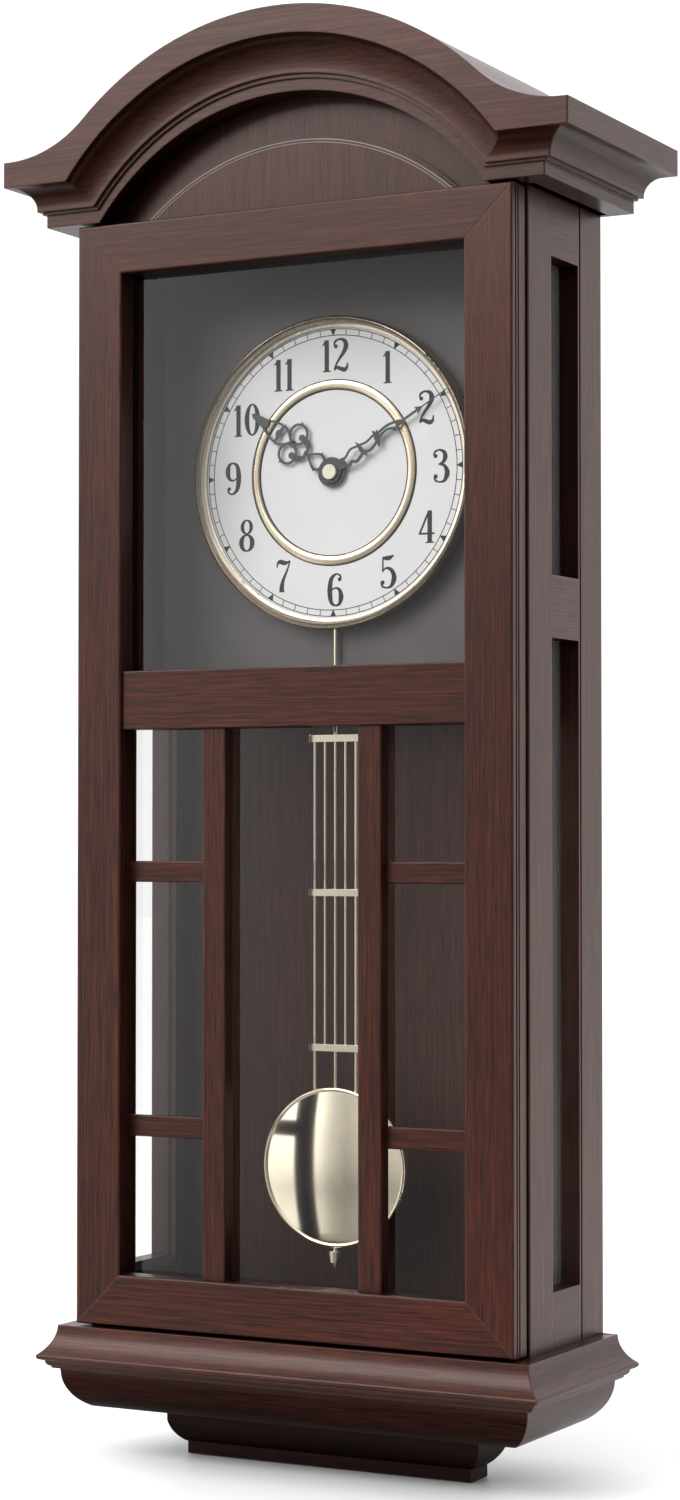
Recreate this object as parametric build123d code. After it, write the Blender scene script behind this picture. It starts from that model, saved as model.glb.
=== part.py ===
from build123d import *
import os
from math import asin, atan2, cos, pi, sin, sqrt

# Schoolhouse wall clock: glazed wooden case with an arched crown, a hinged glazed door, a quartz
# pendulum movement behind the dial board and a lyre pendulum in front of it.
#
# Working frame, in millimetres: X to the right, Y from the door's front face towards the wall,
# Z up from the door's bottom edge. Every finished piece is moved by TO_ORIGIN, so that the origin
# of the written parts lies on the wall, at the centre of the hanger's keyhole.

os.makedirs("parts", exist_ok=True)

# ---------------------------------------------------------------- driving dimensions
# door
DOOR_W = 234.0            # overall width
DOOR_H = 534.0            # overall height
DOOR_T = 14.0             # thickness of the frame
FRAME_W = 24.6            # width of stiles and rails
DOOR_EDGE_R = 1.0         # rounding of the frame's front edges
MID_RAIL_Z = (287.5, 315.9)
MID_RAIL_RECESS = 2.0
MUNTIN_X = (35.7, 47.9)   # distance of each upright bar's two faces from the centre
MUNTIN_RECESS = 3.5
CROSSBAR_Z = ((91.0, 101.3), (213.8, 224.0))
CROSSBAR_RECESS = 8.0
GLASS_T = 2.0
GLASS_FRONT = 11.0        # where the door's glass starts, behind the bars
REBATE_W = 5.0            # width of the ledge that the glass rests on
GROOVE_Y = (3.2, 5.9)     # two fine lines along the door's outer edges
GROOVE_W = 1.3
GROOVE_DEPTH = 1.0

# case
CASE_HALF = 118.0         # outer face of a side
CASE_FRONT = 15.4
CASE_BACK = 98.8
CASE_BOTTOM = -1.2
CASE_TOP = 535.0
SIDE_T = 14.7             # thickness of a side
POST_FRONT_END = 40.8     # back edge of the front post
POST_INNER = 106.3        # inner face of the front posts, between the boards
POST_REAR_START = 71.6    # front edge of the rear post
POST_GROOVE = (72.9, 74.5)
POST_GROOVE_DEPTH = 3.0
WINDOW_Z = ((25.2, 328.2), (357.5, 506.4))
WINDOW_DEPTH = 9.7        # depth of the side glass behind the outer face
SIDE_REBATE = 4.0
STOP_T = 2.5              # beads that hold the side glass
BACK_PANEL_Y = (82.0, 85.0)
BACK_PANEL_GROOVE = 4.0
BOARD_T = 12.0            # top and bottom boards
BUMPER_X = 95.0
BUMPER_R = 5.0

# crown
CROWN_HALF = 151.2        # tip of the crown to each side
CROWN_FRONT = -14.4
WALL_Y = 115.7            # back face of the crown, flat on the wall
SHOULDER_TOP = 566.5
SHOULDER_FLAT = 148.6     # where the concave shoulder starts to rise
ARCH_CENTRE = 472.0
ARCH_R = 153.6
FASCIA_BOTTOM = 554.1
BAND_TOP = 541.2
CROWN_BOTTOM = 535.0
FRONT_OVERHANG = 12.8     # fascia to band, at the front
SIDE_OVERHANG = 17.0
REAR_OVERHANG = 14.0
FASCIA_ARC = (468.8, 143.4)   # centre height and radius of the fascia's lower edge
BAND_ARC = (462.7, 130.5)     # of the band's upper edge
OPENING_ARC = (458.6, 129.0)  # of the band's lower edge
CROWN_BOARD_BACK = 13.5   # back of the front crown piece
CROWN_REAR_START = 98.0
RETURN_INNER = 122.0
ROOF_T = 5.0
TYMPANUM_T = 4.0
TYMPANUM_R = 136.0
PANEL_ARC = (443.0, 126.0)    # raised half-round panel
PANEL_T = 3.5
PANEL_LIP = 1.6
COVE_END_Z = 544.0
STEP_Z = 542.6
COVE_SECTIONS = 7
HANGER_T = 2.0

# base
BASE_HALF = 133.3
BASE_FRONT = -10.5
BASE_BACK = 106.4
BASE_TOP = -1.2
BASE_BOTTOM = -41.2
PEDESTAL_HALF = 76.9
PEDESTAL_Y = (39.1, 56.5)
PEDESTAL_Z = (-65.6, -59.6)
PEDESTAL_FLARE = 7.5      # how far the top spreads beyond the foot
BASE_MITRE = 24.0         # depth of the mitred mouldings

# dial, hands and movement
DIAL_Z = 412.0
DIAL_FACE = 46.0
DIAL_T = 0.6
DIAL_R = 73.6
BEZEL_R = 75.8
BEZEL_INNER_R = 70.6
BEZEL_FRONT = 41.0
DIAL_BOARD_Y = (51.0, 55.0)
DIAL_BOARD_Z = (300.0, 523.0)
BATTEN_Y = (26.0, 51.0)
BATTEN_W = 8.0
RING_R = (40.6, 44.9)
BUSH_R = 4.5
MINUTE_SHAFT_R = 1.5
HOUR_PIPE_R = (1.56, 2.6)
BUSH_BORE_R = 2.66
HOUR_HAND_Y = (44.0, 44.5)
MINUTE_HAND_Y = (42.9, 43.4)
HOUR_LEN = 54.0
MINUTE_LEN = 72.4
HOUR_HUB_R = 7.6
CAP_R = 3.6
MOVEMENT_HALF = 28.0
MOVEMENT_Y = (55.0, 73.0)
MOVEMENT_WALL = 1.6
BUSH_FRONT = 44.8
SHAFT_FRONT = 42.2
CELL_R = 7.1
CELL_Y = 64.0
CELL_Z = 393.2
SETTING_X = -12.0
SETTING_R = 1.0
KNOB_Y = (73.4, 77.4)
KNOB_R = 7.0
KNOB_FLUTES = 16

# pendulum
PIVOT_Z = 377.0
PENDULUM_Y = 48.4
ROD_R = 1.0
LYRE_BARS_Z = (283.3, 208.7, 133.9)
LYRE_HALF = 14.0
LYRE_PITCH = 5.6
BOB_Z = 76.5
BOB_R = 38.5
BOB_DOME = 2.8            # how far the bob's face bulges
LYRE_BAR_H = 3.4
LYRE_ROD_R = 0.8
PIVOT_R = 1.2
STUD_R = 1.3
STUD_Z = 27.2

# hanger and hinges
HANG_Z = 575.0
KEYHOLE_R = 4.5
SLOT_R = 2.2
HINGE_PIN_X = -120.6
HINGE_PIN_Y = 14.7
HINGE_PIN_R = 1.0
KNUCKLE_R = 2.2
HINGE_Z = (85.0, 449.0)
HINGE_LEN = 30.0
KNUCKLE_LEN = 6.0
LEAF_T = 1.0

# magnetic catch
CATCH_X = 112.5
CATCH_HALF = 3.0          # half the width of the magnet and the strike
CATCH_Z = (266.0, 286.0)
STRIKE_T = 1.0
MAGNET_PROUD = 0.8        # how far the magnet stands out of its post
MAGNET_DEPTH = 6.0

TO_ORIGIN = Location((0, -WALL_Y, -HANG_Z))


# ---------------------------------------------------------------- helpers
def block(x, y, z):
    """A box between two corners, given as (low, high) pairs."""
    centre = ((x[0] + x[1]) / 2, (y[0] + y[1]) / 2, (z[0] + z[1]) / 2)
    return Location(centre) * Box(x[1] - x[0], y[1] - y[0], z[1] - z[0])


def front_plane(y):
    """A drawing plane at depth y, whose own axes are X and Z."""
    return Plane(origin=(0, y, 0), x_dir=(1, 0, 0), z_dir=(0, -1, 0))


def slab(face, y0, y1):
    """A face drawn in X and Z, thickened from depth y0 to y1."""
    return extrude(front_plane(y0) * face, amount=y1 - y0, dir=(0, 1, 0))


def run_along_x(face, x0, x1):
    """A face drawn in Y and Z, run from x0 to x1."""
    plane = Plane(origin=(x0, 0, 0), x_dir=(0, 1, 0), z_dir=(1, 0, 0))
    return extrude(plane * face, amount=x1 - x0, dir=(1, 0, 0))


def plan_prism(points, z0, z1):
    """An outline drawn in X and Y, raised from z0 to z1."""
    face = make_face(Polyline(*points, close=True))
    return extrude(Pos(0, 0, z0) * face, amount=z1 - z0, dir=(0, 0, 1))


def rod_y(x, z, radius, y0, y1):
    """A round bar along Y."""
    return Location((x, (y0 + y1) / 2, z), (90, 0, 0)) * Cylinder(radius, y1 - y0)


def rod_z(x, y, radius, z0, z1):
    """A round bar along Z."""
    return Location((x, y, (z0 + z1) / 2)) * Cylinder(radius, z1 - z0)


def rod_x(y, z, radius, x0, x1):
    """A round bar along X."""
    return Location(((x0 + x1) / 2, y, z), (0, 90, 0)) * Cylinder(radius, x1 - x0)


def mirrored(shape):
    """The same piece on the other side of the clock."""
    return mirror(shape, about=Plane.YZ)


def pair(shape):
    """A piece and its mirror image, as two solids."""
    return Compound(children=[shape.solid(), mirrored(shape).solid()])


def group(shapes):
    """Several separate solids in one node."""
    return Compound(children=[s for shape in shapes for s in shape.solids()])


def write(name, shape):
    """Move a finished piece into the part's frame and write it."""
    solids = shape.solids()
    placed = solids[0] if len(solids) == 1 else Compound(children=list(solids))
    export_step(placed.moved(TO_ORIGIN), f"parts/{name}.step")


# ---------------------------------------------------------------- door
def mitred_member(corners, outer_edge):
    """One member of the door frame: its front face is the outline between its mitres."""
    outline = make_face(Polyline(*corners, close=True))
    member = slab(outline, 0, DOOR_T)
    half = DOOR_W / 2 - FRAME_W + REBATE_W
    ledge_z = (FRAME_W - REBATE_W, DOOR_H - FRAME_W + REBATE_W)
    rebate = block((-half, half), (GLASS_FRONT, DOOR_T + 1), ledge_z)
    member = member - rebate
    front_edges = member.edges().filter_by(lambda e: abs(e.center().Y) < 1e-6)
    long_edges = front_edges.filter_by(lambda e: abs(e.tangent_at(0.5).X * e.tangent_at(0.5).Z) < 1e-6)
    member = fillet(long_edges, DOOR_EDGE_R)
    if outer_edge:
        for y in GROOVE_Y:
            x = outer_edge * DOOR_W / 2
            member = member - block(
                (x - GROOVE_DEPTH, x + GROOVE_DEPTH), (y, y + GROOVE_W), (-1, DOOR_H + 1)
            )
    return member


def door_frame():
    half = DOOR_W / 2
    inner = half - FRAME_W
    top_in = DOOR_H - FRAME_W
    stile = [(half, 0), (half, DOOR_H), (inner, top_in), (inner, FRAME_W)]
    rail = [(-half, DOOR_H), (half, DOOR_H), (inner, top_in), (-inner, top_in)]
    foot = [(-half, 0), (half, 0), (inner, FRAME_W), (-inner, FRAME_W)]
    right = mitred_member(stile, 1)
    return mirrored(right), right, mitred_member(rail, 0), mitred_member(foot, 0)


def rounded_bar(x, y, z, vertical):
    """A glazing bar with softened front edges."""
    bar = block(x, y, z)
    along = Axis.Z if vertical else Axis.X
    edges = bar.edges().filter_by(along).group_by(Axis.Y)[0]
    return fillet(edges, 0.6)


def door_parts():
    left, right, top, bottom = door_frame()
    inner = DOOR_W / 2 - FRAME_W
    mid = rounded_bar((-inner, inner), (MID_RAIL_RECESS, GLASS_FRONT), MID_RAIL_Z, False)
    muntin = rounded_bar(MUNTIN_X, (MUNTIN_RECESS, GLASS_FRONT), (FRAME_W, MID_RAIL_Z[0]), True)
    crossbars = [
        rounded_bar((MUNTIN_X[1], inner), (CROSSBAR_RECESS, GLASS_FRONT), z, False) for z in CROSSBAR_Z
    ]
    ledge = inner + REBATE_W - 0.4
    glass = block(
        (-ledge, ledge), (GLASS_FRONT, GLASS_FRONT + GLASS_T),
        (FRAME_W - REBATE_W + 0.4, DOOR_H - FRAME_W + REBATE_W - 0.4),
    )
    write("door_stile_left", left)
    write("door_stile_right", right - strike_pocket())
    write("door_rail_top", top)
    write("door_rail_bottom", bottom)
    write("door_mid_rail", mid)
    write("door_muntins", pair(muntin))
    write("door_crossbars", group(crossbars + [mirrored(bar) for bar in crossbars]))
    write("door_glass", glass)


# ---------------------------------------------------------------- catch and hinges
def catch_x():
    return CATCH_X - CATCH_HALF, CATCH_X + CATCH_HALF


def strike_pocket():
    return block(catch_x(), (DOOR_T - STRIKE_T, DOOR_T + 1), CATCH_Z)


def catch_pocket():
    return block(catch_x(), (CASE_FRONT - 1, CASE_FRONT + MAGNET_DEPTH), CATCH_Z)


def catch_parts():
    write("catch_strike", block(catch_x(), (DOOR_T - STRIKE_T, DOOR_T), CATCH_Z))
    magnet_y = (CASE_FRONT - MAGNET_PROUD, CASE_FRONT + MAGNET_DEPTH)
    write("catch_magnet", block(catch_x(), magnet_y, CATCH_Z))


def hinge_leaf(plate_x, plate_y, web_y, own_knuckles):
    """One leaf: a plate on the left face, webs out to the pin, and its share of the knuckles."""
    leaf = block((plate_x - LEAF_T, plate_x), plate_y, (0, HINGE_LEN))
    for number in range(5):
        low = number * KNUCKLE_LEN
        high = low + KNUCKLE_LEN
        if number in own_knuckles:
            leaf = leaf + rod_z(HINGE_PIN_X, HINGE_PIN_Y, KNUCKLE_R, low + 0.15, high - 0.15)
            leaf = leaf + block((HINGE_PIN_X, plate_x), web_y, (low + 0.15, high - 0.15))
    return leaf - rod_z(HINGE_PIN_X, HINGE_PIN_Y, HINGE_PIN_R + 0.05, -1, HINGE_LEN + 1)


def hinge_parts():
    door_leaf = hinge_leaf(-DOOR_W / 2, (2.4, 12.0), (11.5, HINGE_PIN_Y - 0.6), (1, 3))
    case_leaf = hinge_leaf(-CASE_HALF, (17.4, 27.0), (HINGE_PIN_Y + 0.6, 17.9), (0, 2, 4))
    pin = rod_z(HINGE_PIN_X, HINGE_PIN_Y, HINGE_PIN_R, -0.5, HINGE_LEN)
    pin = pin + rod_z(HINGE_PIN_X, HINGE_PIN_Y, KNUCKLE_R, HINGE_LEN, HINGE_LEN + 1.4)
    write("hinge_door_leaves", group([Pos(0, 0, z) * door_leaf for z in HINGE_Z]))
    write("hinge_case_leaves", group([Pos(0, 0, z) * case_leaf for z in HINGE_Z]))
    write("hinge_pins", group([Pos(0, 0, z) * pin for z in HINGE_Z]))


# ---------------------------------------------------------------- case
def side_rebate():
    """The space that is cut from a side's inner face for its glass and beads."""
    return block(
        (0, CASE_HALF - WINDOW_DEPTH),
        (POST_FRONT_END - SIDE_REBATE, POST_REAR_START + SIDE_REBATE),
        (WINDOW_Z[0][0] - SIDE_REBATE, WINDOW_Z[1][1] + SIDE_REBATE),
    )


def case_parts():
    inner = CASE_HALF - SIDE_T
    height = (CASE_BOTTOM, CASE_TOP)
    rebate = side_rebate()
    floor_z = (CASE_BOTTOM, CASE_BOTTOM + BOARD_T)
    between_boards = (floor_z[1], CASE_TOP - BOARD_T)
    front_post = block((inner, CASE_HALF), (CASE_FRONT, POST_FRONT_END), height) - rebate
    front_post = front_post - block((0, POST_INNER), (CASE_FRONT - 1, POST_FRONT_END + 1), between_boards)
    front_post = fillet(front_post.edges().filter_by(Axis.Z).group_by(Axis.X)[-1].group_by(Axis.Y)[0], 0.8)
    rear_post = block((inner, CASE_HALF), (POST_REAR_START, CASE_BACK), height) - rebate
    rear_post = rear_post - block(
        (CASE_HALF - POST_GROOVE_DEPTH, CASE_HALF + 1), POST_GROOVE, (CASE_BOTTOM - 1, CASE_TOP + 1)
    )
    rear_post = rear_post - block((inner - 1, inner + BACK_PANEL_GROOVE), BACK_PANEL_Y, height)
    rails_y = (POST_FRONT_END, POST_REAR_START)
    top_rail = block((inner, CASE_HALF), rails_y, (WINDOW_Z[1][1], CASE_TOP)) - rebate
    mid_rail = block((CASE_HALF - WINDOW_DEPTH, CASE_HALF), rails_y, (WINDOW_Z[0][1], WINDOW_Z[1][0]))
    bottom_rail = block((inner, CASE_HALF), rails_y, (CASE_BOTTOM, WINDOW_Z[0][0])) - rebate
    margin = SIDE_REBATE - 0.4
    pane_z = (WINDOW_Z[0][0] - margin, WINDOW_Z[1][1] + margin)
    pane_x = (CASE_HALF - WINDOW_DEPTH - GLASS_T, CASE_HALF - WINDOW_DEPTH)
    glass = block(pane_x, (POST_FRONT_END - margin, POST_REAR_START + margin), pane_z)
    bead = block((pane_x[0] - STOP_T, pane_x[0]), (POST_REAR_START, POST_REAR_START + margin), pane_z)
    write("case_front_post_left", mirrored(front_post))
    write("case_front_post_right", front_post - catch_pocket())
    write("case_rear_post_left", mirrored(rear_post))
    write("case_rear_post_right", rear_post)
    write("side_rails_top", pair(top_rail))
    write("side_rails_mid", pair(mid_rail))
    write("side_rails_bottom", pair(bottom_rail))
    write("side_glass", pair(glass))
    write("side_glass_beads", pair(bead))
    write("case_top_board", block((-inner, inner), (CASE_FRONT, CASE_BACK), (CASE_TOP - BOARD_T, CASE_TOP)))
    write("case_bottom_board", block((-inner, inner), (CASE_FRONT, CASE_BACK), floor_z))
    reach = inner + BACK_PANEL_GROOVE
    write("back_panel", block((-reach, reach), BACK_PANEL_Y, between_boards))
    bumper = rod_y(BUMPER_X, sum(floor_z) / 2, BUMPER_R, CASE_BACK, WALL_Y)
    write("wall_bumpers", pair(bumper))


# ---------------------------------------------------------------- crown
def crown_outline(inset=0.0):
    """The crown's front outline: flat shoulders, concave sweeps and one round arch."""
    rise = SHOULDER_TOP - ARCH_CENTRE
    sweep_r = (SHOULDER_FLAT**2 + rise**2 - ARCH_R**2) / (2 * (ARCH_R - rise))
    sweep_z = SHOULDER_TOP + sweep_r
    arch_share = (ARCH_R - inset) / (ARCH_R + sweep_r)
    joint = (SHOULDER_FLAT * arch_share, ARCH_CENTRE + (sweep_z - ARCH_CENTRE) * arch_share)
    half_turn = atan2(SHOULDER_FLAT, sweep_z - ARCH_CENTRE) / 2
    sweep_low_r = sweep_r + inset
    middle = (SHOULDER_FLAT - sweep_low_r * sin(half_turn), sweep_z - sweep_low_r * cos(half_turn))
    edge = CROWN_HALF - inset
    shoulder = SHOULDER_TOP - inset
    outline = [
        Line((-edge, CROWN_BOTTOM), (-edge, shoulder)),
        Line((-edge, shoulder), (-SHOULDER_FLAT, shoulder)),
        ThreePointArc((-SHOULDER_FLAT, shoulder), (-middle[0], middle[1]), (-joint[0], joint[1])),
        ThreePointArc((-joint[0], joint[1]), (0, ARCH_CENTRE + ARCH_R - inset), joint),
        ThreePointArc(joint, middle, (SHOULDER_FLAT, shoulder)),
        Line((SHOULDER_FLAT, shoulder), (edge, shoulder)),
        Line((edge, shoulder), (edge, CROWN_BOTTOM)),
        Line((edge, CROWN_BOTTOM), (-edge, CROWN_BOTTOM)),
    ]
    return make_face(outline)


def crown_waste(overhang):
    """What is cut from under the fascia: a cove, two small steps and the flat band."""
    lip, cove_end, step = 0.06 * overhang, 0.77 * overhang, 0.9 * overhang
    cove_middle = (
        lip + (cove_end - lip) * sin(pi / 4),
        COVE_END_Z + (FASCIA_BOTTOM - COVE_END_Z) * cos(pi / 4),
    )
    low = CROWN_BOTTOM - 5
    outline = [
        Line((-5, low), (-5, FASCIA_BOTTOM)),
        Line((-5, FASCIA_BOTTOM), (lip, FASCIA_BOTTOM)),
        ThreePointArc((lip, FASCIA_BOTTOM), cove_middle, (cove_end, COVE_END_Z)),
        Line((cove_end, COVE_END_Z), (cove_end, STEP_Z)),
        Line((cove_end, STEP_Z), (step, STEP_Z)),
        Line((step, STEP_Z), (step, BAND_TOP)),
        Line((step, BAND_TOP), (overhang, BAND_TOP)),
        Line((overhang, BAND_TOP), (overhang, low)),
        Line((overhang, low), (-5, low)),
    ]
    return make_face(outline)


def arch_segment(centre, radius):
    """The part of a disc that stands above the crown's bottom."""
    low = CROWN_BOTTOM - 5
    reach = sqrt(radius**2 - (low - centre) ** 2)
    return make_face([
        ThreePointArc((-reach, low), (0, centre + radius), (reach, low)),
        Line((reach, low), (-reach, low)),
    ])


def arch_at(z):
    """The arch that belongs to a height of the straight moulding, from fascia to band."""
    share = (FASCIA_BOTTOM - z) / (FASCIA_BOTTOM - BAND_TOP)
    centre = FASCIA_ARC[0] + share * (BAND_ARC[0] - FASCIA_ARC[0])
    radius = FASCIA_ARC[1] + share * (BAND_ARC[1] - FASCIA_ARC[1])
    return arch_segment(centre, radius)


def arch_waste():
    """The same moulding carried round the arch, and the opening inside it."""
    lip, cove_end, step = (CROWN_FRONT + share * FRONT_OVERHANG for share in (0.06, 0.77, 0.9))
    band = CROWN_FRONT + FRONT_OVERHANG
    sections = []
    for number in range(COVE_SECTIONS):
        angle = number / (COVE_SECTIONS - 1) * pi / 2
        y = lip + (cove_end - lip) * sin(angle)
        z = COVE_END_Z + (FASCIA_BOTTOM - COVE_END_Z) * cos(angle)
        sections.append(front_plane(y) * arch_at(z))
    waste = slab(arch_at(FASCIA_BOTTOM), CROWN_FRONT - 5, lip)
    waste = waste + loft(sections)
    waste = waste + slab(arch_at(STEP_Z), cove_end - 0.01, step)
    waste = waste + slab(arch_at(BAND_TOP), step - 0.01, band)
    return waste + slab(arch_segment(*OPENING_ARC), band - 0.01, CROWN_BOARD_BACK)


def crown_body():
    body = slab(crown_outline(), CROWN_FRONT, WALL_Y)
    reach = CROWN_HALF + 5
    body = body - Pos(0, CROWN_FRONT, 0) * run_along_x(crown_waste(FRONT_OVERHANG), -reach, reach)
    rear = run_along_x(crown_waste(REAR_OVERHANG), -reach, reach)
    body = body - Pos(0, WALL_Y, 0) * mirror(rear, about=Plane.XZ)
    side = slab(crown_waste(SIDE_OVERHANG), CROWN_FRONT - 5, WALL_Y + 5)
    left = Pos(-CROWN_HALF, 0, 0) * side
    body = body - left - mirrored(left)
    body = body - arch_waste()
    cavity = slab(crown_outline(ROOF_T), CROWN_BOARD_BACK, CROWN_REAR_START)
    inside = block((-RETURN_INNER, RETURN_INNER), (0, 200), (CROWN_BOTTOM - 1, 700))
    mouth_y = (CROWN_BOARD_BACK, CROWN_REAR_START)
    mouth = block((-RETURN_INNER, RETURN_INNER), mouth_y, (CROWN_BOTTOM - 1, CROWN_BOTTOM + 6))
    return body - (cavity & inside) - mouth


def return_region():
    """The plan of the right-hand return, between its front and rear mitres."""
    depth = CROWN_HALF - RETURN_INNER
    front_y = CROWN_FRONT + depth * FRONT_OVERHANG / SIDE_OVERHANG
    rear_y = WALL_Y - depth * REAR_OVERHANG / SIDE_OVERHANG
    beyond = 1.2
    outer_x = RETURN_INNER + beyond * depth
    corners = [
        (outer_x, front_y + beyond * (CROWN_FRONT - front_y)), (RETURN_INNER, front_y),
        (RETURN_INNER, rear_y), (outer_x, rear_y + beyond * (WALL_Y - rear_y)),
    ]
    return plan_prism(corners, CROWN_BOTTOM - 1, SHOULDER_TOP + 40)


def keyhole():
    """Round entry for a screw head, with a narrower slot above it."""
    round_hole = Pos(0, HANG_Z) * Circle(KEYHOLE_R)
    slot = Pos(0, HANG_Z + 5) * Rectangle(2 * SLOT_R, 10)
    return round_hole + slot + Pos(0, HANG_Z + 10) * Circle(SLOT_R)


def hanger_screw(x):
    """A countersunk screw, its head flush with the hanger plate."""
    shank = rod_y(x, HANG_Z, 1.5, WALL_Y - 12, WALL_Y - 1)
    return shank + rod_y(x, HANG_Z, 2.8, WALL_Y - 1, WALL_Y)


def crown_parts():
    body = crown_body()
    right = return_region()
    left = mirrored(right)
    returns = body & right
    rest = body - right - left
    wide = (-CROWN_HALF - 5, CROWN_HALF + 5)
    tall = (CROWN_BOTTOM - 1, 700)
    front = rest & block(wide, (CROWN_FRONT - 1, CROWN_BOARD_BACK), tall)
    roof = rest & block(wide, (CROWN_BOARD_BACK, CROWN_REAR_START), tall)
    rear = rest & block(wide, (CROWN_REAR_START, WALL_Y + 1), tall)
    plate_x, plate_z = (-16, 16), (HANG_Z - 9, HANG_Z + 16)
    screws = [hanger_screw(x) for x in (-11, 11)]
    plate = block(plate_x, (WALL_Y - HANGER_T, WALL_Y), plate_z) - slab(keyhole(), WALL_Y - 5, WALL_Y + 1)
    rear = rear - block(plate_x, (WALL_Y - HANGER_T, WALL_Y + 1), plate_z)
    rear = rear - block((-7, 7), (WALL_Y - 10, WALL_Y), (HANG_Z - 6, HANG_Z + 13))
    for screw in screws:
        plate = plate - screw
        rear = rear - screw
    write("crown_front", front)
    write("crown_return_left", mirrored(returns))
    write("crown_return_right", returns)
    write("crown_roof", roof)
    write("crown_rear", rear)
    write("hanger_plate", plate)
    write("hanger_screws", group(screws))
    above = block((-118, 118), (0, 200), (CROWN_BOTTOM, 700))
    back = slab(arch_segment(OPENING_ARC[0], TYMPANUM_R), CROWN_BOARD_BACK, CROWN_BOARD_BACK + TYMPANUM_T)
    write("tympanum", back & above)
    panel_front = CROWN_BOARD_BACK - PANEL_T
    panel = slab(arch_segment(*PANEL_ARC), panel_front + 0.8, CROWN_BOARD_BACK)
    raised = arch_segment(PANEL_ARC[0], PANEL_ARC[1] - PANEL_LIP)
    panel = panel + slab(raised, panel_front, CROWN_BOARD_BACK)
    write("tympanum_panel", panel & above)


# ---------------------------------------------------------------- base
def base_waste():
    """What is cut from the edge of the base: a cove above the tip, an ovolo below it."""
    top = (7.7, BASE_TOP - 0.7)
    tip_top = (0.9, -14.6)
    ovolo_top = (8.7, -23.4)
    ovolo_end = (20.0, BASE_BOTTOM)
    outline = [
        Line((-3, BASE_TOP + 1), (7.7, BASE_TOP + 1)),
        Line((7.7, BASE_TOP + 1), top),
        ThreePointArc(top, (5.6, -9.0), tip_top),
        ThreePointArc(tip_top, (0.02, -16.0), (1.0, -17.4)),
        Line((1.0, -17.4), (3.2, -18.2)),
        ThreePointArc((3.2, -18.2), (3.8, -19.9), (5.4, -20.9)),
        Line((5.4, -20.9), (5.6, -21.8)),
        Line((5.6, -21.8), (8.6, -22.4)),
        Line((8.6, -22.4), ovolo_top),
        ThreePointArc(ovolo_top, (12.4, -34.6), ovolo_end),
        Line(ovolo_end, (20.0, BASE_BOTTOM - 1)),
        Line((20.0, BASE_BOTTOM - 1), (-3, BASE_BOTTOM - 1)),
        Line((-3, BASE_BOTTOM - 1), (-3, BASE_TOP + 1)),
    ]
    return make_face(outline)


def pedestal_waste():
    """What is cut from the edge of the pedestal: a quarter round above a short upright face."""
    top = (0, BASE_BOTTOM - 1.2)
    low = PEDESTAL_Z[1]
    bulge = (PEDESTAL_FLARE * (1 - cos(pi / 4)), top[1] - (top[1] - low) * sin(pi / 4))
    outline = [
        Line((-3, top[1]), top),
        ThreePointArc(top, bulge, (PEDESTAL_FLARE - 0.6, low)),
        Line((PEDESTAL_FLARE - 0.6, low), (PEDESTAL_FLARE, low)),
        Line((PEDESTAL_FLARE, low), (PEDESTAL_FLARE, PEDESTAL_Z[0] - 1)),
        Line((PEDESTAL_FLARE, PEDESTAL_Z[0] - 1), (-3, PEDESTAL_Z[0] - 1)),
        Line((-3, PEDESTAL_Z[0] - 1), (-3, top[1])),
    ]
    return make_face(outline)


def moulded_block(half, y, z, waste):
    """A block whose four upright faces all carry the same moulding."""
    body = block((-half, half), y, z)
    along_x = run_along_x(waste, -half - 5, half + 5)
    along_y = Pos(-half, 0, 0) * slab(waste, y[0] - 5, y[1] + 5)
    body = body - Pos(0, y[0], 0) * along_x - Pos(0, y[1], 0) * mirror(along_x, about=Plane.XZ)
    return body - along_y - mirrored(along_y)


def base_parts():
    body = moulded_block(BASE_HALF, (BASE_FRONT, BASE_BACK), (BASE_BOTTOM, BASE_TOP), base_waste())
    low, high = BASE_BOTTOM - 1, BASE_TOP + 1
    inner_x = BASE_HALF - BASE_MITRE
    front_y, back_y = BASE_FRONT + BASE_MITRE, BASE_BACK - BASE_MITRE
    front_corners = [
        (-BASE_HALF, BASE_FRONT), (BASE_HALF, BASE_FRONT), (inner_x, front_y), (-inner_x, front_y),
    ]
    side_corners = [
        (BASE_HALF, BASE_FRONT), (BASE_HALF, BASE_BACK), (inner_x, back_y), (inner_x, front_y),
    ]
    front_region = plan_prism(front_corners, low, high)
    side_region = plan_prism(side_corners, low, high)
    side = body & side_region
    write("base_front", body & front_region)
    write("base_return_left", mirrored(side))
    write("base_return_right", side)
    write("base_board", body - front_region - side_region - mirrored(side_region))
    depth = (PEDESTAL_Y[0] - PEDESTAL_FLARE, PEDESTAL_Y[1] + PEDESTAL_FLARE)
    height = (PEDESTAL_Z[0], BASE_BOTTOM)
    write("pedestal", moulded_block(PEDESTAL_HALF + PEDESTAL_FLARE, depth, height, pedestal_waste()))


# ---------------------------------------------------------------- dial and hands
def ring_y(profile, z):
    """A profile of (radius, depth) points turned about the dial's axis."""
    face = make_face(profile)
    turned = revolve(Plane(origin=(0, 0, 0), x_dir=(1, 0, 0), z_dir=(0, 0, 1)) * face, axis=Axis.Y)
    return Pos(0, 0, z) * turned


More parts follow.
